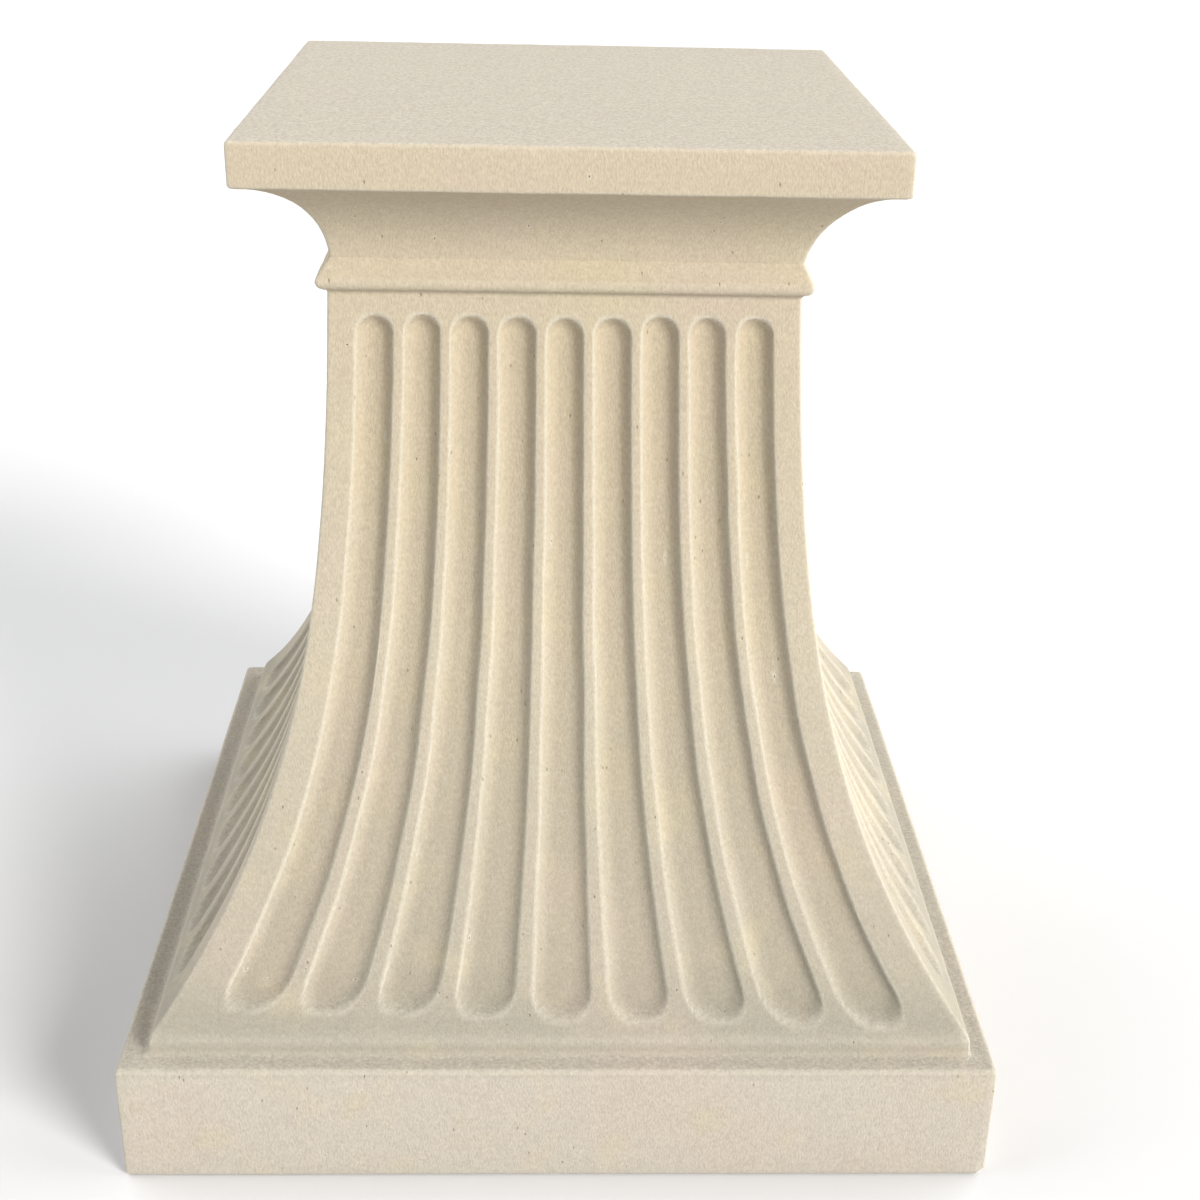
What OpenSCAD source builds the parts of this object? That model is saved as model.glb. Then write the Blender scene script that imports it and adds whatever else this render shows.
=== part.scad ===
// Square column base in cast stone, made in one piece. From the ground up it has a plinth,
// a low upright foot, a flared shaft with flutes on all four sides, a bead, a cavetto
// that sweeps out to the top, and a square slab. It stands on its underside.
// Millimetres, +Z up, origin at the middle of the underside.

/* [Overall] */
// Height from the underside to the top of the slab
total_h = 704; // [580:1:860]
// Side of the square plinth
plinth_w = 610; // [500:1:740]

/* [Plinth] */
// Height of the plinth
plinth_h = 93; // [60:1:130]
// Width of the level ledge between the foot and the edge of the plinth
ledge_w = 18; // [8:1:40]
// Radius that softens the edges of the plinth
plinth_edge_r = 4; // [2:0.5:8]

/* [Shaft] */
// Height of the upright foot under the flare
foot_h = 12; // [6:1:25]
// Width of the shaft at its top, just under the bead
shaft_top_w = 308; // [250:1:370]
// Height in which the flare falls to about a third, so a larger value makes a fuller curve
flare_fade_h = 164; // [110:1:240]
// How much the soft edge between the foot and the flare is rounded away
foot_edge_cut = 1.3; // [0.5:0.1:3]

/* [Flutes] */
// Number of flutes on each face
flute_count = 9; // [5:1:11]
// Share of the spacing that a flute takes, the rest being the land between two flutes
flute_share = 0.77; // [0.5:0.01:0.88]
// Depth of a flute, square to the face
flute_depth = 8; // [4:0.5:12]
// Width of the curved wall along the edge of a flute, the rest of its floor being flat
flute_wall_w = 9; // [6:0.5:14]
// Plain band between the bead and the round tops of the flutes
flute_top_gap = 15.5; // [8:0.5:50]
// Height of the plain band between the foot and the round lower ends of the flutes
flute_foot_gap = 11; // [6:1:50]

/* [Cap] */
// Radius of the bead
bead_r = 6.5; // [6:0.5:12]
// How far the bead stands out from the shaft
bead_out = 7; // [3:0.5:8]
// How far the neck above the bead is set in from the shaft
neck_inset = 1.5; // [0.5:0.5:4]
// How far above the middle of the bead the cavetto starts
neck_h = 6; // [3:0.5:12]
// Height of the cavetto, from its start to the slab
cavetto_h = 62; // [46:1:84]
// Width of the strip left between the cavetto and the edge of the slab
soffit_w = 3; // [3:0.5:20]
// Side of the square slab
slab_w = 415; // [340:1:500]
// Thickness of the slab
slab_h = 30; // [18:1:45]
// Radius that softens the edges of the slab
slab_edge_r = 3; // [1:0.5:6]

/* [Hidden] */
$fn = 96;

stone = [0.84, 0.79, 0.69];

// How far the shaft runs into the plinth and into the bead, so that they join as one solid
overlap = 4;

plinth_half = plinth_w / 2;
foot_half = plinth_half - ledge_w;
shaft_top_half = shaft_top_w / 2;
neck_half = shaft_top_half - neck_inset;
slab_half = slab_w / 2;

// Heights of the levels, measured from the underside
flare_z = plinth_h + foot_h;
slab_z = total_h - slab_h;
cavetto_z = slab_z - cavetto_h;
bead_z = cavetto_z - neck_h;
shaft_top_z = bead_z - bead_r;

// ---- The curve of the flare ----
// The half width shrinks exponentially with height: quickly above the foot, then more and
// more slowly, until the faces stand almost upright under the bead.
function fade(z) = exp((flare_z - z) / flare_fade_h);
faded = fade(shaft_top_z);
flare_run = (foot_half - shaft_top_half) / (1 - faded);
function flare_half(z) = shaft_top_half + flare_run * (fade(z) - faded);
// The smaller of the foot and the flare, with a soft change from one to the other
function half_width(z) =
    let (middle = (foot_half + flare_half(z)) / 2, apart = (foot_half - flare_half(z)) / 2)
    middle - sqrt(apart * apart + foot_edge_cut * foot_edge_cut);
// Length along the sloping face for each millimetre of height
function stretch(z) = sqrt(1 + pow(flare_run * fade(z) / flare_fade_h, 2));

// ---- The flutes ----
function flute_half(z) = flute_share * half_width(z) / (flute_count + 1);
flute_top_z = shaft_top_z - flute_top_gap;
flute_foot_z = flare_z + flute_foot_gap;
// Rise of each round end: as long on the face as the flute is wide on each side of its middle
top_end_h = flute_half(flute_top_z) / stretch(flute_top_z);
foot_end_h = flute_half(flute_foot_z) / stretch(flute_foot_z);
straight_z0 = flute_foot_z + foot_end_h;
straight_z1 = flute_top_z - top_end_h;

// A round end is stepped by the angle from its tip, and the run between the ends is stepped evenly
end_angles = [0, 26, 54];
run_steps = 10;
// Points across the wall of a flute, as shares of its width, and how near to the middle of
// the flute they may come where the wall has no room for its full width
wall_points = [[0, 1], [0.35, 0.62], [1, 0.2]];
// A round end stops at this share of the full width, which leaves no point where faces would pinch
tip_share = 0.12;

// Each row is a height and how far it lies into a round end: 0 at its start and 1 at its tip
rows = [
    [plinth_h - overlap, 1],
    [flare_z - foot_h / 2, 1],
    [flare_z, 1],
    [flare_z + flute_foot_gap / 2, 1],
    for (a = end_angles) [straight_z0 - foot_end_h * cos(a), cos(a)],
    for (i = [0 : run_steps]) [straight_z0 + (straight_z1 - straight_z0) * i / run_steps, 0],
    for (i = [len(end_angles) - 1 : -1 : 0])
        [straight_z1 + top_end_h * cos(end_angles[i]), cos(end_angles[i])],
    [shaft_top_z + overlap, 1]
];

// Depth as a share of the full depth, at a distance from the edge of the flute
function hollow(from_edge) = 1 - pow(max(0, 1 - from_edge / flute_wall_w), 2);

// Places across a flute in a row, from -1 at one edge to 1 at the other
function places(side) =
    let (right = [for (w = wall_points) max(w[1], 1 - w[0] * flute_wall_w / side)])
    [for (c = right) -c, for (i = [len(right) - 1 : -1 : 0]) right[i]];

// The points of flute i on the front face, in row [height, into_end]
function flute_points(z, into_end, i) =
    let (
        middle = half_width(z) * (2 * (i + 1) / (flute_count + 1) - 1),
        half = flute_half(z),
        side = half * max(tip_share, sqrt(1 - into_end * into_end))
    )
    [for (c = places(side))
        let (
            from_middle = sqrt(into_end * into_end + c * c * (1 - into_end * into_end)),
            depth = flute_depth * stretch(z) * hollow(half * (1 - from_middle))
        )
        [middle + c * side, depth - half_width(z), z]];

function corner_point(z) = [-half_width(z), -half_width(z), z];

function front_points(row) = [
    corner_point(row[0]),
    for (i = [0 : flute_count - 1]) each flute_points(row[0], row[1], i)
];

// The front points turned by a number of quarter turns about the upright axis
function quarter_turned(p, turns) =
    turns == 0 ? p : quarter_turned([-p[1], p[0], p[2]], turns - 1);

module fluted_shaft() {
    ring = 4 * (1 + flute_count * 2 * len(wall_points));
    top = (len(rows) - 1) * ring;
    middle = len(rows) * ring;
    points = [
        for (row = rows) for (side = [0 : 3]) for (p = front_points(row)) quarter_turned(p, side),
        [0, 0, rows[0][0]],
        [0, 0, rows[len(rows) - 1][0]]
    ];
    faces = [
        for (j = [0 : ring - 1]) let (k = (j + 1) % ring)
            each [[middle, j, k], [middle + 1, top + k, top + j]],
        for (r = [0 : len(rows) - 2]) for (j = [0 : ring - 1])
            let (a = r * ring + j, b = r * ring + (j + 1) % ring)
            each [[a, a + ring, b + ring], [a, b + ring, b]]
    ];
    polyhedron(points, faces);
}

// ---- Square mouldings ----
// An upright outline run along X and along Y: where the two runs meet they form
// a square moulding with mitred corners.
module square_moulding(length) {
    intersection() {
        rotate([90, 0, 0]) linear_extrude(length, center = true) children();
        rotate([90, 0, 90]) linear_extrude(length, center = true) children();
    }
}

// A rectangle that stands on the X axis, with its four corners rounded
module soft_rectangle(width, height, radius) {
    translate([-width / 2 + radius, 0]) square([width - 2 * radius, height]);
    translate([-width / 2, radius]) square([width, height - 2 * radius]);
    for (x = [radius - width / 2, width / 2 - radius], y = [radius, height - radius])
        translate([x, y]) circle(radius);
}

// A square slab with all its edges softened
module soft_slab(width, height, radius) {
    intersection() {
        square_moulding(width + 2) soft_rectangle(width, height, radius);
        linear_extrude(height) translate([0, -width / 2]) soft_rectangle(width, width, radius);
    }
}

module plinth() soft_slab(plinth_w, plinth_h, plinth_edge_r);

module slab() translate([0, 0, slab_z]) soft_slab(slab_w, slab_h, slab_edge_r);

// ---- Bead and cavetto ----
// The cavetto is one arc, from the neck out to the strip under the slab. It leaves the neck
// upright when it is taller than it is deep, and meets the slab level when it is deeper.
cavetto_out = slab_half - soffit_w - neck_half;
cavetto_r = (cavetto_out * cavetto_out + cavetto_h * cavetto_h) / (2 * min(cavetto_out, cavetto_h));
cavetto_centre = cavetto_out <= cavetto_h
    ? [neck_half + cavetto_r, cavetto_z]
    : [neck_half + cavetto_out, slab_z - cavetto_r];

module neck_outline() {
    bead_middle = shaft_top_half + bead_out - bead_r;
    // The core starts inside the top of the shaft, so that the two overlap
    core_z = shaft_top_z + overlap / 2;
    translate([-neck_half, core_z]) square([2 * neck_half, slab_z - core_z]);
    for (side = [-1, 1]) translate([side * bead_middle, bead_z]) circle(bead_r);
    difference() {
        translate([-neck_half - cavetto_out, cavetto_z])
            square([2 * (neck_half + cavetto_out), cavetto_h + slab_edge_r]);
        for (side = [-1, 1])
            translate([side * cavetto_centre[0], cavetto_centre[1]]) circle(cavetto_r);
    }
}

module neck() square_moulding(slab_w) neck_outline();

module column_base() {
    color(stone) {
        plinth();
        fluted_shaft();
        neck();
        slab();
    }
}

column_base();
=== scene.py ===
# %% [markdown]
# # A column base in cast stone
#
# The real object is one block of cast limestone. Crushed stone and cement are rammed damp into
# a mould, and the piece comes out with a fine sandy skin, small air holes and softly rounded edges.
# A table top or a column stands on it.
#
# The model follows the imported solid, which is loaded first as a fixed frame. The solid has every
# profile and flute already, but its faces are coarse and its edges too perfect. A second, finer mesh
# with the same sizes takes its place here, because worn edges and air holes need closer faces.

# %% Load the frame
import math
import random

import bmesh
import bpy
from mathutils import Matrix, Vector, noise


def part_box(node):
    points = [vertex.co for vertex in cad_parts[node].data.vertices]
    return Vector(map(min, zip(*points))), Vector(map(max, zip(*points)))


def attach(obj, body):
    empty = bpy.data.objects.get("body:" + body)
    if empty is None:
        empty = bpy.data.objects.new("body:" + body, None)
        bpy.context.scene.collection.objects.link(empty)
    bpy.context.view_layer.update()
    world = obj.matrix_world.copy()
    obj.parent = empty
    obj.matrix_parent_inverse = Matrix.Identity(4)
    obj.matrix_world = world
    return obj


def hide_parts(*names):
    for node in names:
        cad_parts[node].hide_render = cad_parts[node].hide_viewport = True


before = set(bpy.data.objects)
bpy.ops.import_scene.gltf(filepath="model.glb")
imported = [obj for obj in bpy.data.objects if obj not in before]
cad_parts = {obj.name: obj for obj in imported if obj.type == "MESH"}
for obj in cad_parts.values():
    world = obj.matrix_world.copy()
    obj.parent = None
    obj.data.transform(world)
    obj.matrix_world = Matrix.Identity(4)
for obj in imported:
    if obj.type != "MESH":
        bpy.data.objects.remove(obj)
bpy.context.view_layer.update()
low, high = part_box("column_base")
print("the solid runs from", tuple(round(v, 4) for v in low), "to", tuple(round(v, 4) for v in high))

# %% [markdown]
# ## The sizes
#
# The overall width and height come from the frame, so the mesh fills the same box as the solid. The
# other sizes repeat the ones the solid was drawn with. Everything is in metres, measured up from the
# underside and out from the upright middle line.

# %% Sizes of the casting
mm = 0.001
# Two places nearer than this count as one
tiny = 1e-6

plinth_half = high.x
total_h = high.z
plinth_h = 93 * mm
ledge_w = 18 * mm
foot_h = 12 * mm

shaft_top_half = 154 * mm
flare_fade_h = 164 * mm
bead_r = 6.5 * mm
bead_out = 7 * mm
neck_half = shaft_top_half - 1.5 * mm
neck_h = 6 * mm
cavetto_h = 62 * mm
slab_half = 207.5 * mm
slab_h = 30 * mm
soffit_w = 3 * mm

foot_half = plinth_half - ledge_w
flare_z = plinth_h + foot_h
slab_z = total_h - slab_h
cavetto_z = slab_z - cavetto_h
bead_z = cavetto_z - neck_h
shaft_top_z = bead_z - bead_r
print(f"flare from {flare_z:.3f} to {shaft_top_z:.3f}, bead at {bead_z:.3f}, slab from {slab_z:.3f}")

# %% [markdown]
# ## The curve of the flare
#
# The faces of the shaft stand almost upright under the bead and sweep out faster and faster towards
# the foot. An exponential does this with one number, the height in which the sweep fades to a third.
# At the bottom it runs into the upright foot with a soft edge: the smaller of the two widths counts,
# and a square root rounds the change from one to the other. The slope of the curve is needed too,
# because the flutes are cut square to the face.

# %% Half width and slope of the flare
foot_edge_cut = 1.3 * mm


def fade(z):
    """How much of the sweep is left at a height, 1 being all of it."""
    return math.exp((flare_z - z) / flare_fade_h)


flare_run = (foot_half - shaft_top_half) / (1 - fade(shaft_top_z))


def shaft_half(z):
    """Half the width of the shaft at a height."""
    flare = shaft_top_half + flare_run * (fade(z) - fade(shaft_top_z))
    return (foot_half + flare) / 2 - math.hypot((foot_half - flare) / 2, foot_edge_cut)


def stretch(z):
    """Length along the sloping face for each unit of height."""
    return math.hypot(1, flare_run * fade(z) / flare_fade_h)


print(f"the face leans {math.degrees(math.acos(1 / stretch(flare_z))):.0f} degrees at the foot and "
      f"{math.degrees(math.acos(1 / stretch(shaft_top_z))):.0f} under the bead")

# %% [markdown]
# ## The outline
#
# All the mouldings come from one upright outline, drawn from the underside to the top of the slab.
# It is a list of corners, and each corner that is soft on the casting is swapped for a small arc.
# Nothing on such a casting is sharp: the plinth and slab have edges rounded by a few millimetres, and
# the inner corners, where stone dust and slip gather, are filled with a little hollow.

# %% Arcs for an outline
def point(half, z):
    """A place on the outline: how far out, and how high."""
    return Vector((half, z))


def arc(centre, radius, start, end, steps):
    """Points round a centre, from one angle to another, 0 being outwards and 90 straight up."""
    angles = [math.radians(start + (end - start) * i / steps) for i in range(steps + 1)]
    return [centre + radius * Vector((math.cos(a), math.sin(a))) for a in angles]


def softened(before, corner, after, radius, steps):
    """A corner as an arc that runs smoothly into both of its sides."""
    back, on = (before - corner).normalized(), (after - corner).normalized()
    half_angle = back.angle(on) / 2
    centre = corner + (back + on).normalized() * radius / math.sin(half_angle)
    reach = radius / math.tan(half_angle)
    start, end = corner + back * reach - centre, corner + on * reach - centre
    return [centre + radius * start.slerp(end, i / steps) for i in range(steps + 1)]


def straight(start, end, steps):
    """Points that divide a straight stretch evenly, without its two ends."""
    return [start.lerp(end, i / steps) for i in range(1, steps)]


square_corner = softened(point(0, 0), point(1, 0), point(1, 1), 4 * mm, 5)
print("a square corner softened in 5 steps has", len(square_corner), "points")

# %% [markdown]
# Two of the inner corners are worked out first: the one between the ledge and the foot, and the one
# under the bead, which is filled by a little cove. The cove touches both the face of the shaft and
# the round of the bead, which fixes how far it lies below the middle of the bead.

# %% The little hollow and the cove
hollow_r = 3.5 * mm
cove_r = 2.5 * mm
bead_middle = shaft_top_half + bead_out - bead_r
cove_middle = shaft_top_half + cove_r
cove_drop = math.sqrt((bead_r + cove_r) ** 2 - (cove_middle - bead_middle) ** 2)
cove_z = bead_z - cove_drop
print(f"the cove lies {cove_drop / mm:.1f} mm below the middle of the bead")

# %% [markdown]
# The rows of faces up the flare don't need to be even. They lie close together where the round ends
# of the flutes need them, and further apart on the long plain run between.

# %% Heights of the rows up the flare
flute_top_gap = 15.5 * mm
flute_foot_gap = 11 * mm
flute_top_z = shaft_top_z - flute_top_gap
flute_foot_z = flare_z + flute_foot_gap

end_zone = 17 * mm
fine_row = 1.9 * mm
coarse_row = 12 * mm
# The rows grow from fine to coarse over this height, and stop this far from the hollow and the cove
growing_h = 45 * mm
row_clearance = 1 * mm


def outside(z, start, end):
    """How far a height lies outside a zone."""
    return max(start - z, z - end, 0)


def flare_rows(start, end):
    """Heights from start to end, close together at the round ends of the flutes."""
    heights = [start]
    while heights[-1] < end:
        z = heights[-1]
        gap = min(outside(z, flute_foot_z, flute_foot_z + end_zone),
                  outside(z, flute_top_z - end_zone, flute_top_z))
        heights.append(z + fine_row + (coarse_row - fine_row) * min(1, gap / growing_h))
    # The last step is stretched or squeezed so that the rows end exactly at the top
    share = (end - start) / (heights[-1] - start)
    return [start + (z - start) * share for z in heights]


rows = flare_rows(plinth_h + hollow_r + row_clearance, cove_z - row_clearance)
print(len(rows), "rows up the flare")

# %% [markdown]
# The parts of the outline are now strung together, and first come plinth, ledge, foot and flare. The
# outline starts and ends a little way in from the edge of the base, and one flat face will close
# what that leaves open at each end.

# %% Lower half of the outline
under_edge_r = 3 * mm
plinth_edge_r = 4 * mm
cap_inset = 25 * mm

under_edge, plinth_edge = point(plinth_half, 0), point(plinth_half, plinth_h)
ledge_end, foot_top = point(foot_half, plinth_h), point(foot_half, flare_z)
under_middle = point(plinth_half - cap_inset, 0)

plinth_outline = [
    under_middle,
    *softened(under_middle, under_edge, plinth_edge, under_edge_r, 3),
    *straight(under_edge + point(0, under_edge_r), plinth_edge - point(0, plinth_edge_r), 8),
    *softened(under_edge, plinth_edge, ledge_end, plinth_edge_r, 5),
    *straight(plinth_edge - point(plinth_edge_r, 0), ledge_end + point(hollow_r, 0), 3),
    *softened(plinth_edge, ledge_end, foot_top, hollow_r, 4),
]
flare_outline = [point(shaft_half(z), z) for z in rows]
print(len(plinth_outline), "points round the plinth and", len(flare_outline), "up the flare")

# %% [markdown]
# Above the flare come bead, cavetto and slab. The bead is a round standing half out of the shaft, with
# the cove below it and a sloping shoulder above. The cavetto is one arc that leaves the neck
# upright and sweeps out under the slab.

# %% Upper half of the outline
slab_edge_r = 3 * mm
# Angles in degrees, where the bead's arc ends and the arcs of the cavetto and the slab start
bead_end, cavetto_start, slab_start = 38, 172, -80

meeting = math.degrees(math.atan2(cove_drop, cove_middle - bead_middle))
bead_outline = [
    *arc(point(cove_middle, cove_z), cove_r, 180, 180 - meeting, 4),
    *arc(point(bead_middle, bead_z), bead_r, -meeting, bead_end, 9)[1:],
]

cavetto_out = slab_half - soffit_w - neck_half
cavetto_r = (cavetto_out ** 2 + cavetto_h ** 2) / (2 * cavetto_out)
cavetto_end = 180 - math.degrees(math.asin(cavetto_h / cavetto_r))
cavetto_middle = point(neck_half + cavetto_r, cavetto_z)
cavetto_outline = arc(cavetto_middle, cavetto_r, cavetto_start, cavetto_end, 14)

slab_edge, slab_top = point(slab_half, total_h), point(slab_half - cap_inset, total_h)
slab_outline = [
    *arc(point(slab_half - slab_edge_r, slab_z + slab_edge_r), slab_edge_r, slab_start, 0, 4),
    *straight(point(slab_half, slab_z + slab_edge_r), slab_edge - point(0, slab_edge_r), 4),
    *softened(point(slab_half, slab_z), slab_edge, slab_top, slab_edge_r, 5),
    *straight(slab_edge - point(slab_edge_r, 0), slab_top, 3),
    slab_top,
]

outline = plinth_outline + flare_outline + bead_outline + cavetto_outline + slab_outline
print(len(outline), "points in the outline")

# %% [markdown]
# ## The square body
#
# A square moulding is an outline carried round four straight sides and mitred at the corners. Turning
# the outline round the middle line in only four steps gives exactly that, if the outline stands
# on a corner of the square, so that each step swings it a quarter turn to the next corner.

# %% Turn the outline into a square body
body = bmesh.new()
corner_verts = [body.verts.new((-p.x, -p.x, p.y)) for p in outline]
corner_edges = [body.edges.new(pair) for pair in zip(corner_verts, corner_verts[1:])]
bmesh.ops.spin(body, geom=corner_verts + corner_edges, cent=(0, 0, 0), axis=(0, 0, 1),
               angle=math.tau, steps=4, use_merge=True)
print(len(body.faces), "long faces, four to a row")

# %% [markdown]
# Each long face is now cut across into columns, which the flutes need. The edges that run level along
# the sides are the ones to cut. They are told from the mitre edges by their ends: only a level edge
# has its middle on a middle line of the square.

# %% Cut the sides into columns
flute_count = 9
flute_share = 0.77

# Places across half a flute, in half widths of the flute: close together at its steep edge
across_flute = [0, 0.3, 0.55, 0.75, 0.88, 0.97, 1.06, 1.16, 1 / flute_share]
flute_columns = 2 * (len(across_flute) - 1)
end_columns = 4
columns = flute_count * flute_columns + 2 * end_columns


def runs_level(edge):
    """Whether an edge runs level along a side, rather than up a mitre."""
    middle = (edge.verts[0].co + edge.verts[1].co) / 2
    return min(abs(middle.x), abs(middle.y)) < tiny


bmesh.ops.subdivide_edges(body, edges=[e for e in body.edges if runs_level(e)], cuts=columns - 1)
print(columns, "columns on each side,", len(body.faces), "faces")

# %% [markdown]
# ## The flutes
#
# A flute is a long round-ended hollow, flat along its floor, with curved walls that are as wide at
# its narrow top as at its wide foot. Nine of them spread out down each face, in step with the flare.
# They could be cut with tapered rounded bars and Booleans, but the cut would leave ragged thin faces.
# Pressing the fine mesh inwards by a formula keeps the faces regular and the edges soft.
#
# The solid's flutes have one depth all the way. On the real casting they are shallower at the foot
# and get deeper up to about halfway, and this mesh follows that.

# %% Width and depth of a flute at a height
spread = flute_count + 1
# Depth of the solid's flutes, against which a place in a flute is called shallow or deep
flute_depth = 8 * mm
foot_depth, top_depth, deepening_h = 5.4 * mm, 7.3 * mm, 250 * mm


def flute_half(z):
    """Half the width of a flute at a height."""
    return flute_share * shaft_half(z) / spread


def full_depth(z):
    """Depth of the floor of a flute at a height."""
    return foot_depth + (top_depth - foot_depth) * min(1, max(0, (z - flute_foot_z) / deepening_h))


print(f"a flute is {2 * flute_half(flute_foot_z) / mm:.0f} mm wide at the foot and "
      f"{2 * flute_half(flute_top_z) / mm:.0f} at the top")

# %% [markdown]
# A mould is filled by hand, so no two flutes are quite alike: each one ends a little higher or lower
# than the next. The depth at a place follows from how far it lies inside the rim of its flute, the
# rim being two straight sides and two round ends. The rim itself is a little soft.

# %% Depth of a flute at a place on the face
flute_wall_w = 9 * mm
# How soft the rim is, as a share of the depth
soft_edge = 0.12


def press_depth(x, z, foot_shift, top_shift):
    """How deep the face is pressed in at a place, square to the face."""
    spacing = 2 * shaft_half(z) / spread
    number = round(x / spacing)
    if abs(number) > flute_count // 2:
        return 0
    across = (x - number * spacing) / flute_half(z)
    foot_z, top_z = flute_foot_z + foot_shift[number], flute_top_z + top_shift[number]
    into_foot = 1 - (z - foot_z) * stretch(foot_z) / flute_half(foot_z)
    into_top = 1 - (top_z - z) * stretch(top_z) / flute_half(top_z)
    from_middle = math.hypot(across, max(into_foot, into_top, 0))
    from_edge = flute_half(z) * (1 - from_middle)
    hollow = 1 - max(0, 1 - from_edge / flute_wall_w) ** 2
    return full_depth(z) * (hollow + math.hypot(hollow, soft_edge)) / 2


even = [0] * flute_count
print(f"floor {press_depth(0, 0.3, even, even) / mm:.1f} mm deep, edge "
      f"{press_depth(flute_half(0.3), 0.3, even, even) / mm:.1f} mm")

# %% [markdown]
# The columns of faces have to follow the flutes, so each column gets its place as a share of the
# width of the face: so many to a flute, close together at its rim, and a few wide ones beside the
# first flute and the last.

# %% Place of a column across a face
def column_share(number):
    """Place of a column across a face, from -1 to 1, where 0 is the middle column."""
    side, number = math.copysign(1, number), abs(number)
    fluted = flute_count * flute_columns // 2
    if number > fluted:
        return side * (flute_count + (number - fluted) / end_columns) / spread
    flute, place = divmod(number + flute_columns // 2, flute_columns)
    place -= flute_columns // 2
    across = math.copysign(across_flute[abs(place)], place)
    return side * (2 * flute + flute_share * across) / spread


print("the last column but one stands at", round(column_share(columns // 2 - 1), 3), "of the width")

# %% [markdown]
# The four faces are done one after another. Each time, the vertices of the face that looks along -Y
# are set across in their columns and pressed in, and then the whole body is turned by a quarter.
# After four turns it stands as it began. The rims of the flutes wander slightly, by a noise.

# %% Set out the columns and press in the flutes
random.seed(4)
quarter_turn = Matrix.Rotation(math.pi / 2, 3, "Z")
# How far each flute on the first face ends below the one on its left, and how uneven all ends are
lean_down = 1.1 * mm
uneven_end = 1 * mm
# How far a rim wanders, and how long the waves are across the face and up it
rim_wander, wave_across, wave_up = 0.7 * mm, 30 * mm, 50 * mm
flute_numbers = range(-(flute_count // 2), flute_count // 2 + 1)
pressed = body.verts.layers.float.new("hollow")

for side in range(4):
    fall = -lean_down if side == 0 else 0
    foot_shift = {n: fall * n + random.uniform(-1, 1) * uneven_end for n in flute_numbers}
    top_shift = {n: random.uniform(-1, 1) * uneven_end for n in flute_numbers}
    for vert in body.verts:
        x, y, z = vert.co
        if -y < abs(x) - tiny:
            continue
        half = -y
        x = half * column_share(round(x / half * columns / 2))
        vert.co.x = x
        if flare_z < z < shaft_top_z and abs(x) < half - tiny:
            wander = rim_wander * noise.noise(Vector((x / wave_across, z / wave_up, side)))
            depth = press_depth(x + wander, z, foot_shift, top_shift)
            vert.co.y += depth * stretch(z)
            vert[pressed] = depth / flute_depth
    bmesh.ops.rotate(body, verts=body.verts, cent=(0, 0, 0), matrix=quarter_turn)

print(sum(v[pressed] > 0.5 for v in body.verts), "vertices lie in the floors of", 4 * flute_count, "flutes")

# %% [markdown]
# ## Closing and softening
#
# The body is still open at the top and underneath, so one flat face closes each end. Then the upright
# corners, where two sides meet, are rounded with a bevel. It comes after the columns, because the
# columns stay straight that way, and it is narrower than the last column.

# %% Close the ends and round the arrises
arris_w = 2.2 * mm


def ring_at(z):
    """The open edges that lie at a height."""
    return [e for e in body.edges if e.is_boundary and all(abs(v.co.z - z) < tiny for v in e.verts)]


for z in (0, total_h):
    bmesh.ops.contextual_create(body, geom=ring_at(z))
bmesh.ops.recalc_face_normals(body, faces=body.faces)


def on_corner(vert):
    return abs(abs(vert.co.x) - abs(vert.co.y)) < tiny


arrises = [e for e in body.edges if all(on_corner(v) for v in e.verts)]
bmesh.ops.bevel(body, geom=arrises, offset=arris_w, offset_type="OFFSET", affect="EDGES",
                segments=3, profile=0.5, material=-1, clamp_overlap=False)
print(len(arrises), "corner edges rounded,", len(body.faces), "faces")

# %% [markdown]
# One bottom corner of the plinth has been knocked off. A break like this is made of a few shallow
# facets, so the corner is sliced by three planes that are turned a little from each other, and
# each slice is closed at once.

# %% Knock off a corner
def slice_corner(cut_point, outwards):
    """Cut away what lies outwards of a plane and close the cut."""
    geom = body.verts[:] + body.edges[:] + body.faces[:]
    cut = bmesh.ops.bisect_plane(body, geom=geom, plane_co=cut_point, plane_no=outwards, clear_outer=True)
    edges = [e for e in cut["geom_cut"] if isinstance(e, bmesh.types.BMEdge)]
    bmesh.ops.holes_fill(body, edges=edges)


knocked = Vector((plinth_half, -plinth_half, 0))
# How many millimetres in from the corner each plane lies, and which way it faces
slices = [(4.6, (1, -0.8, -0.95)), (4.2, (1, -0.5, -1.4)), (4.2, (0.6, -1.1, -1))]
for inset, direction in slices:
    outwards = Vector(direction).normalized()
    slice_corner(knocked - outwards * inset * mm, outwards)
print("the knocked corner has left", len(body.faces), "faces")

# %% [markdown]
# ## Signs of hand casting
#
# The parts of a casting seldom sit dead true on each other. The shaft, the cavetto and the slab are up
# to three millimetres off the middle, to one side or the other at different heights. The plinth
# stays where it is, so that the mesh keeps to the box of the solid.

# %% Shift the parts off the middle
def between(value, start, end):
    """0 below start, 1 above end, and an even rise from one to the other."""
    return min(1, max(0, (value - start) / (end - start)))


# Heights, and how far the middle of the casting is off to the right there
middles = [(plinth_h, 0), (plinth_h + hollow_r, 2 * mm), (bead_z, -1.2 * mm), (bead_z + 24 * mm, 0.8 * mm),
           (slab_z - 16 * mm, 2.8 * mm), (slab_z, 1.2 * mm), (total_h, 1.2 * mm)]


def sway(z):
    """How far the middle of the casting is off to the right at any height."""
    shift = 0
    for (start, before), (end, after) in zip(middles, middles[1:]):
        if z >= start:
            shift = before + (after - before) * between(z, start, end)
    return shift


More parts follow.
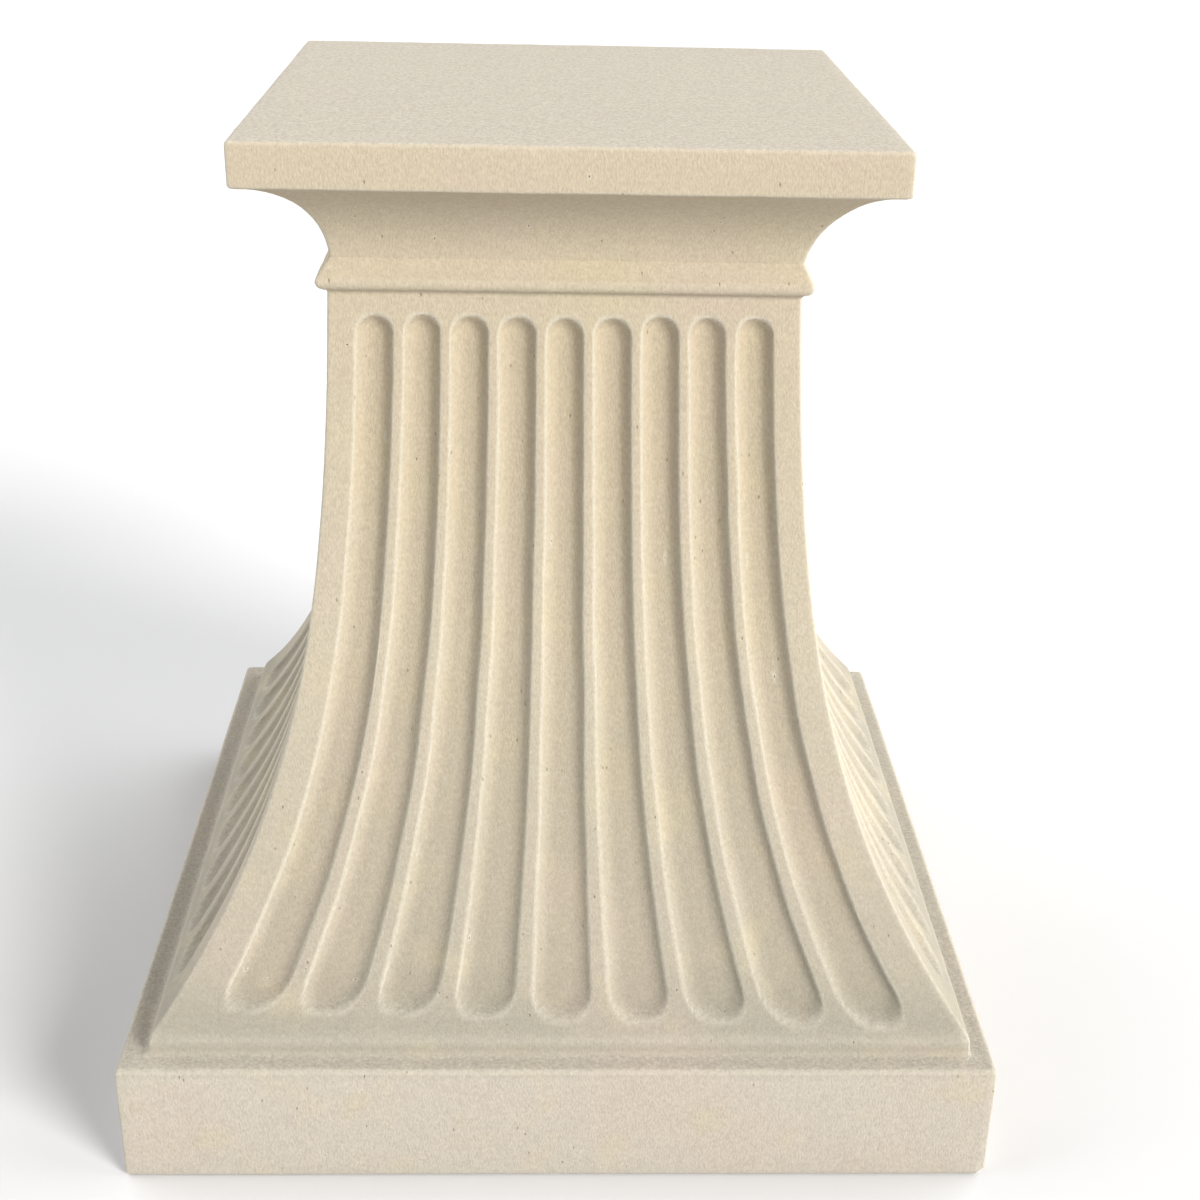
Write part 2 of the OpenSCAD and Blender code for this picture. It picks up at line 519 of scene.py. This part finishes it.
for vert in body.verts:
    vert.co.x += sway(vert.co.z)
offsets = [round(sway(z) / mm, 1) for z in (shaft_top_z, cavetto_z, slab_z)]
print("mm off the middle at the top of the shaft, the neck and the slab:", offsets)

# %% [markdown]
# The faces of a casting aren't dead flat either. The whole skin is moved inwards, never outwards, by
# two noises that add up to less than a millimetre, so it too stays inside the box of the solid. The
# underside is left flat, because it stands on the floor.

# %% Uneven the faces
slow_drift, slow_size = 0.55 * mm, 70 * mm
quick_drift, quick_size = 0.35 * mm, 18 * mm
# How far the top is lowered where it stays flat, and how near the underside or the top a place
# has to be to count as part of it
level_drop = 0.3 * mm
in_plane = 1e-5


def drift(place, size):
    """A number from 0 to 1 that changes over distances of about the given size."""
    return 0.5 + 0.5 * noise.noise(place / size)


body.normal_update()
shifts = {}
for vert in body.verts:
    if vert.co.z > in_plane:
        amount = slow_drift * drift(vert.co, slow_size) + quick_drift * drift(vert.co, quick_size)
        if vert.co.z > total_h - in_plane:
            # The large face in the middle of the top is one face, so the drift fades out towards it
            from_cap = max(abs(vert.co.x - sway(total_h)), abs(vert.co.y)) - (slab_half - cap_inset)
            amount = level_drop + (amount - level_drop) * between(from_cap, 0, cap_inset)
        shifts[vert] = -vert.normal * amount
for vert, shift in shifts.items():
    vert.co += shift
furthest = max(shift.length for shift in shifts.values())
print(f"moved {len(shifts)} vertices inwards, by {furthest / mm:.2f} mm at most")

# %% [markdown]
# Air caught in the damp mix leaves small holes in the skin. Each one is made from a single face: the
# face is divided in nine, and the middle piece is drawn in to the size of the hole and pushed down.

# %% How an air hole is made
hole_wall = 0.12 * mm
# The number that marks the bottom of an air hole for the material, where a flute has at most 1
deep_mark = 1.4


def air_hole(face, size, depth):
    """Make a hole in the middle of a face, with half its width and its depth."""
    middle = face.calc_center_median()
    parts = bmesh.ops.subdivide_edges(body, edges=face.edges[:], cuts=2, use_grid_fill=True)["geom_inner"]
    near = {f for part in parts if isinstance(part, bmesh.types.BMVert) for f in part.link_faces}
    heart = min(near, key=lambda f: (f.calc_center_median() - middle).length)
    heart_middle = heart.calc_center_median()
    for vert in heart.verts:
        reach = vert.co - heart_middle
        vert.co = heart_middle + reach * min(1, size / reach.length)
    bmesh.ops.inset_individual(body, faces=[heart], thickness=hole_wall, depth=-depth)
    for vert in heart.verts:
        vert[pressed] = deep_mark


print("an air hole has a wall", hole_wall / mm, "mm wide")

# %% [markdown]
# The air holes gather in a few patches and are rare elsewhere. Only a face with four sides, neither
# small nor long, can take one, and none lie on level faces. The bevel lists its faces in another order
# each time the script runs, so they are sorted by place before they are shuffled.

# %% Scatter the air holes
hole_count = 70
shortest_side, longest_side, steepest = 1.9 * mm, 14 * mm, 0.9
# Limits in millimetres, for half the width of a hole and for its depth
smallest, largest = 0.5, 1.0
# How far a patch reaches, and how likely a hole is far from all patches
patch_reach, stray_share = 50 * mm, 0.06


def can_hold_hole(face):
    """Whether a face has the shape, the size and the slope for an air hole."""
    sides = sorted(e.calc_length() for e in face.edges)
    return (len(sides) == 4 and sides[0] > shortest_side and sides[-1] < longest_side
            and abs(face.normal.z) < steepest)


patches = [Vector((-0.19, -0.24, 0.15)), Vector((-0.14, -0.23, 0.2)), Vector((-0.13, -0.16, 0.5)),
           Vector((0.2, 0.17, 0.3)), Vector((-0.25, 0.12, 0.18)), Vector((0.15, -0.17, 0.36))]
body.faces.ensure_lookup_table()
candidates = [f for f in body.faces if can_hold_hole(f)]
candidates.sort(key=lambda f: tuple(round(c, 6) for c in f.calc_center_median()))
random.shuffle(candidates)
taken = set()
holes = 0
for face in candidates:
    if holes >= hole_count:
        break
    if any(v in taken for v in face.verts):
        continue
    middle = face.calc_center_median()
    nearest = min((middle - p).length for p in patches)
    if random.random() > stray_share + (1 - stray_share) * math.exp(-(nearest / patch_reach) ** 2):
        continue
    # No second hole may share a vertex with the faces round this one
    taken.update(v for e in face.edges for f in e.link_faces for v in f.verts)
    air_hole(face, random.uniform(smallest, largest) * mm, random.uniform(smallest, largest) * mm)
    holes += 1
print(holes, "air holes")

# %% [markdown]
# ## Where the edges are
#
# Handling rubs the outer edges paler, and a painted highlight makes them paler still, while the hollows get
# a painted shade. The material can't see either, so both are written on the mesh as numbers. The flutes
# wrote theirs while they were pressed in.
# An outer edge is found by the angle at which its faces fold away from each other.

# %% Measure the edges for wear and painted highlight
# The fold in radians that an edge needs before it gets wear and painted highlight
least_fold = 0.25
wear_and_highlight = body.verts.layers.float.new("wear_and_highlight_edge")
for vert in body.verts:
    fold = sum(max(0, e.calc_face_angle_signed(0)) for e in vert.link_edges)
    vert[wear_and_highlight] = min(1, max(0, fold - least_fold))
print(sum(v[wear_and_highlight] > 0.3 for v in body.verts), "vertices on worn edges")

# %% [markdown]
# The bmesh becomes a mesh object at the origin, with its place in its vertices. It rides on the root body,
# replaces the solid in the picture, and takes the cast limestone made below as its finish.
# Its faces are shaded as one smooth skin, except across an edge that folds sharply.

# %% Make the piece
sharp_fold = math.radians(38)
for face in body.faces:
    face.smooth = True
for edge in body.edges:
    edge.smooth = edge.calc_face_angle(0) < sharp_fold
bmesh.ops.recalc_face_normals(body, faces=body.faces)

stone_mesh = bpy.data.meshes.new("stone_base")
body.to_mesh(stone_mesh)
body.free()
stone_base = bpy.data.objects.new("stone_base", stone_mesh)
bpy.context.scene.collection.objects.link(stone_base)
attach(stone_base, "root")
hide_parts("column_base")
triangles = sum(len(p.vertices) - 2 for p in stone_mesh.polygons)
print("stone_base has", triangles, "triangles")

# %% [markdown]
# ## Cast limestone
#
# The skin is matt and sandy. From a step away it is a warm cream, yellower near the top, greyer down
# the flare and a little pink on the plinth, with faint clouds in it. Close to, it shows sand grains
# that were drawn upwards as the mould was lifted off, so they read as short upright strokes, and
# pinholes here and there. All of this is noise in the piece's own coordinates, in metres, so every
# scale below can be read as so many features to the metre.

# %% A helper for nodes
def add_node(tree, kind, sockets=None, **settings):
    """A new node with its settings, and its sockets given numbers or joined to other nodes."""
    made = tree.nodes.new(kind)
    for name, value in settings.items():
        setattr(made, name, value)
    for name, value in (sockets or {}).items():
        if isinstance(value, bpy.types.NodeSocket):
            tree.links.new(value, made.inputs[name])
        else:
            made.inputs[name].default_value = value
    return made


limestone = bpy.data.materials.new("cast_limestone")
limestone.use_nodes = True
tree = limestone.node_tree
tree.nodes.clear()
place = add_node(tree, "ShaderNodeTexCoord").outputs["Object"]
print("material", limestone.name, "started")

# %% [markdown]
# The finish is built up from a few kinds of step that come back many times, so each kind gets its own
# short function: a ramp of colours, a blend of two, a number put on another scale, and a noise.

# %% Helpers for the finish
def ramp(factor, stops):
    """A colour ramp with the given places and colours."""
    made = add_node(tree, "ShaderNodeValToRGB", {"Fac": factor})
    elements = made.color_ramp.elements
    while len(elements) < len(stops):
        elements.new(1)
    for element, (position, colour) in zip(elements, stops):
        element.position = position
        element.color = (*colour, 1)
    return made.outputs["Color"]


def blend(factor, under, over, mode="MIX"):
    """Two colours mixed, or multiplied, by a factor."""
    made = add_node(tree, "ShaderNodeMix", data_type="RGBA", blend_type=mode)
    for socket, value in ((made.inputs[0], factor), (made.inputs[6], under), (made.inputs[7], over)):
        if isinstance(value, bpy.types.NodeSocket):
            tree.links.new(value, socket)
        else:
            socket.default_value = value
    return made.outputs[2]


def level(value, start, end, low_value=0, high_value=1):
    """A number that rises from low_value to high_value as value goes from start to end."""
    made = add_node(tree, "ShaderNodeMapRange", {"Value": value, "From Min": start, "From Max": end,
                                                 "To Min": low_value, "To Max": high_value})
    return made.outputs["Result"]


def cloud(scale, detail=2.0, where=place):
    """Noise with about so many features to the metre."""
    made = add_node(tree, "ShaderNodeTexNoise", {"Vector": where, "Scale": scale, "Detail": detail})
    return made.outputs["Fac"]


def calculated(operation, first, second):
    """Two numbers put together by a sum, a product or a comparison."""
    made = add_node(tree, "ShaderNodeMath", {0: first, 1: second}, operation=operation)
    return made.outputs[0]


print("the helpers are ready, and the material still has", len(tree.nodes), "node")

# %% [markdown]
# The colour starts from a ramp over the height. Slow noise then blends in a pinker and a yellower
# tone for the clouds.

# %% Colour of the stone
height = add_node(tree, "ShaderNodeSeparateXYZ", {"Vector": place}).outputs["Z"]
# Darkest in a band round the foot, and greyer and darker down the lower flare than higher up
pink_cream, dark_foot_grey, grey_cream = (0.418, 0.385, 0.333), (0.290, 0.272, 0.225), (0.337, 0.311, 0.255)
cream, warm_cream = (0.412, 0.371, 0.293), (0.420, 0.366, 0.276)
colour = ramp(level(height, 0, total_h), [
    (0.00, pink_cream), (0.12, pink_cream), (0.145, dark_foot_grey), (0.165, dark_foot_grey),
    (0.21, grey_cream), (0.50, cream), (0.85, warm_cream), (1.00, warm_cream)])

rosy, straw = (0.426, 0.356, 0.300, 1), (0.434, 0.385, 0.268, 1)
colour = blend(level(cloud(9, 3), 0.50, 0.75, 0, 0.45), colour, rosy)
colour = blend(level(cloud(23, 3), 0.52, 0.75, 0, 0.45), colour, straw)
print("colour and clouds have", len(tree.nodes), "nodes")

# %% [markdown]
# Faces that look up are greyer, partly from dust and damp lying on them and partly from painted shade, and
# show the sand as fine specks.
# Faces that look down get a painted shade, a touch darker. The direction comes from the shape itself.

# %% Dust and painted shade by which way a face looks
looks_up = add_node(tree, "ShaderNodeSeparateXYZ",
                    {"Vector": add_node(tree, "ShaderNodeNewGeometry").outputs["Normal"]}).outputs["Z"]
# Grey dust with painted shade on faces that look up, less of both low down, and painted shade on faces that
# look down
dust_and_shade, painted_underside_shade = (0.384, 0.360, 0.317, 1), (0.97, 0.96, 0.95, 1)
dust_and_shade_share = level(height, 0.12, 0.6, 0.35, 0.85)
dust_and_shade_share = calculated("MULTIPLY", dust_and_shade_share, level(looks_up, 0.75, 0.98))
colour = blend(dust_and_shade_share, colour, dust_and_shade)
# Painted shade on the faces that look down
colour = blend(level(looks_up, -0.3, -0.8), colour, painted_underside_shade, "MULTIPLY")
speckle = ramp(cloud(450, 4), [(0.3, (0.84,) * 3), (0.7, (1.12,) * 3)])
colour = blend(level(looks_up, 0.6, 0.9), colour, blend(1.0, colour, speckle, "MULTIPLY"))
print("with dust,", len(tree.nodes), "nodes")

# %% [markdown]
# The two numbers from the mesh come in next. The hollows get a painted shade, the air holes a brown painted
# shade, and the edges are paler, partly from wear and partly as a painted highlight.

# %% Painted shade in the hollows, wear and painted highlight on the edges
def mesh_number(name):
    """One of the numbers that are written on the mesh."""
    return add_node(tree, "ShaderNodeAttribute", attribute_name=name).outputs["Fac"]


hollow_shade, painted_hole_shade = (0.92, 0.905, 0.88, 1), (0.45, 0.38, 0.28, 1)
pale_edge_and_highlight = (0.500, 0.475, 0.410, 1)
# Painted shade in the flutes, fuller where they are deeper
colour = blend(level(mesh_number("hollow"), 0.1, 0.9), colour, hollow_shade, "MULTIPLY")
# Brown painted shade in the air holes
colour = blend(level(mesh_number("hollow"), 1.05, 1.5), colour, painted_hole_shade, "MULTIPLY")
# Paler edges: partly wear, partly painted highlight
colour = blend(level(mesh_number("wear_and_highlight_edge"), 0.0, 0.8, 0, 0.45), colour, pale_edge_and_highlight)
print("with hollows and edges,", len(tree.nodes), "nodes")

# %% [markdown]
# The sandy grain is a fine noise stretched upwards to twice its width. It tints the colour
# a little, and a coarser noise adds faint mottling.

# %% Grain
drawn_up = add_node(tree, "ShaderNodeMapping", {"Vector": place, "Scale": (1, 1, 0.5)}).outputs["Vector"]
grain = cloud(720, 3, drawn_up)
grain_tint = ramp(grain, [(0.25, (0.90, 0.895, 0.88)), (0.75, (1.09, 1.09, 1.095))])
mottling = ramp(cloud(300, 2), [(0.3, (0.95,) * 3), (0.7, (1.05,) * 3)])
colour = blend(1.0, colour, grain_tint, "MULTIPLY")
colour = blend(1.0, colour, mottling, "MULTIPLY")
print("with grain,", len(tree.nodes), "nodes")

# %% [markdown]
# The pinholes are cells of a Voronoi pattern: only a few cells get one, more of them in some places
# than in others, and it fills a small part of its cell.

# %% Pinholes
pin_shade = (0.76, 0.72, 0.65, 1)
cells = add_node(tree, "ShaderNodeTexVoronoi", {"Vector": drawn_up, "Scale": 380.0})
chosen = add_node(tree, "ShaderNodeSeparateColor", {"Color": cells.outputs["Color"]}).outputs["Red"]
pin_share = level(cloud(14, 1), 0.4, 0.75, 0.002, 0.04)
in_pinhole = calculated("MULTIPLY", calculated("LESS_THAN", chosen, pin_share),
                        level(cells.outputs["Distance"], 0.16, 0.3, 1, 0))
colour = blend(in_pinhole, colour, pin_shade, "MULTIPLY")
print("with pinholes,", len(tree.nodes), "nodes")

# %% [markdown]
# Grain and pinholes also make the bump, together with finer sand and a slow unevenness. It raises the
# skin by a fraction of a millimetre, so that the light catches it. The shader is rough all over, as
# dry stone is, and hardly shines.

# %% Put the stone shader together
bump_h = 0.38 * mm


def added(first, second, share):
    """The first number with a share of the second added."""
    return calculated("ADD", first, calculated("MULTIPLY", second, share))


relief = added(grain, cloud(1500, 1), 0.5)
relief = added(relief, cloud(90, 2), 0.8)
relief = added(relief, in_pinhole, -1.2)
bump = add_node(tree, "ShaderNodeBump", {"Height": relief, "Strength": 1.0, "Distance": bump_h})
shader = add_node(tree, "ShaderNodeBsdfPrincipled", {
    "Base Color": colour, "Normal": bump.outputs["Normal"],
    "Roughness": level(grain, 0.3, 0.7, 0.86, 0.96), "Specular IOR Level": 0.25})
add_node(tree, "ShaderNodeOutputMaterial", {"Surface": shader.outputs["BSDF"]})
stone_mesh.materials.append(limestone)
print("cast_limestone has", len(tree.nodes), "nodes")

# %% [markdown]
# ## The floor
#
# The base stands on a plain pale floor, wide enough to fill the view behind it.

# %% Make the floor
floor_reach = 40
floor_bm = bmesh.new()
bmesh.ops.create_grid(floor_bm, x_segments=2, y_segments=2, size=floor_reach)
floor_mesh = bpy.data.meshes.new("floor")
floor_bm.to_mesh(floor_mesh)
floor_bm.free()
floor = bpy.data.objects.new("floor", floor_mesh)
bpy.context.scene.collection.objects.link(floor)

pale = bpy.data.materials.new("pale_floor")
pale.use_nodes = True
pale_shader = pale.node_tree.nodes["Principled BSDF"]
pale_shader.inputs["Base Color"].default_value = (0.62, 0.63, 0.65, 1)
pale_shader.inputs["Roughness"].default_value = 0.9
pale_shader.inputs["Specular IOR Level"].default_value = 0.1
floor_mesh.materials.append(pale)
print("floor is", floor.dimensions.x, "m wide")

# %% [markdown]
# ## The light
#
# Three large soft sources make the studio. The key stands to the front right, not very high: it
# lights the left wall of each flute and leaves the right wall dark. One behind on the right lights
# the right side and the top, and one behind on the left keeps the left side from going dull. Sun
# lamps with wide angles do this, because their light is equally strong all over the floor, which
# throws a good part of it back up.

# %% Set the lamps
def soft_sun(name, comes_from, strength, angle, colour):
    """A sun lamp with an angle in degrees, a larger angle making softer shadows."""
    data = bpy.data.lights.new(name, "SUN")
    data.energy = strength
    data.angle = math.radians(angle)
    data.color = colour
    lamp = bpy.data.objects.new(name, data)
    lamp.rotation_euler = Vector(comes_from).to_track_quat("Z", "Y").to_euler()
    bpy.context.scene.collection.objects.link(lamp)
    return lamp


warm, neutral = (1.0, 0.965, 0.91), (1.0, 0.99, 0.97)
lamps = [
    soft_sun("key", (0.63, -0.65, 0.42), 4.85, 24, warm),
    soft_sun("right", (0.80, 0.32, 0.51), 3.3, 70, neutral),
    soft_sun("left", (-0.78, 0.34, 0.53), 3.4, 85, neutral),
]
print("lamps:", ", ".join(lamp.name for lamp in lamps))

# %% [markdown]
# The surroundings are nearly dark, so that they don't wash out the flutes, but for a pale band at the
# horizon, which carries on the pale floor where it ends.

# %% Light the surroundings
world = bpy.data.worlds.new("studio")
bpy.context.scene.world = world
world.use_nodes = True
sky = world.node_tree
direction = add_node(sky, "ShaderNodeTexCoord").outputs["Generated"]
up = add_node(sky, "ShaderNodeSeparateXYZ", {"Vector": direction}).outputs["Z"]
glow = add_node(sky, "ShaderNodeMapRange", {"Value": up, "From Min": 0.1, "From Max": 0.2,
                                            "To Min": 1.0, "To Max": 0.03}).outputs["Result"]
sky.nodes["Background"].inputs["Color"].default_value = (1, 1, 1, 1)
sky.links.new(glow, sky.nodes["Background"].inputs["Strength"])
bpy.context.scene.view_settings.view_transform = "Standard"
print("surroundings have", len(sky.nodes), "nodes")

# %% [markdown]
# ## The camera
#
# The camera stands a step away, a little above the slab, and looks down by 25 degrees, which shows
# the top of the slab and spreads the lower edges of the plinth.

# %% Set the camera
camera_data = bpy.data.cameras.new("camera")
camera_data.sensor_width = 36
camera_data.lens = 54.66
camera = bpy.data.objects.new("camera", camera_data)
camera_place = Vector((-0.0147, -1.3045, 0.9172))
turned, down, rolled = math.radians(2.008), math.radians(24.97), math.radians(1.33)
aim = (Matrix.Rotation(-turned, 4, "Z") @ Matrix.Rotation(math.pi / 2 - down, 4, "X")
       @ Matrix.Rotation(rolled, 4, "Z"))
camera.matrix_world = Matrix.Translation(camera_place) @ aim
bpy.context.scene.collection.objects.link(camera)
bpy.context.scene.camera = camera
print("camera", camera_data.lens, "mm")
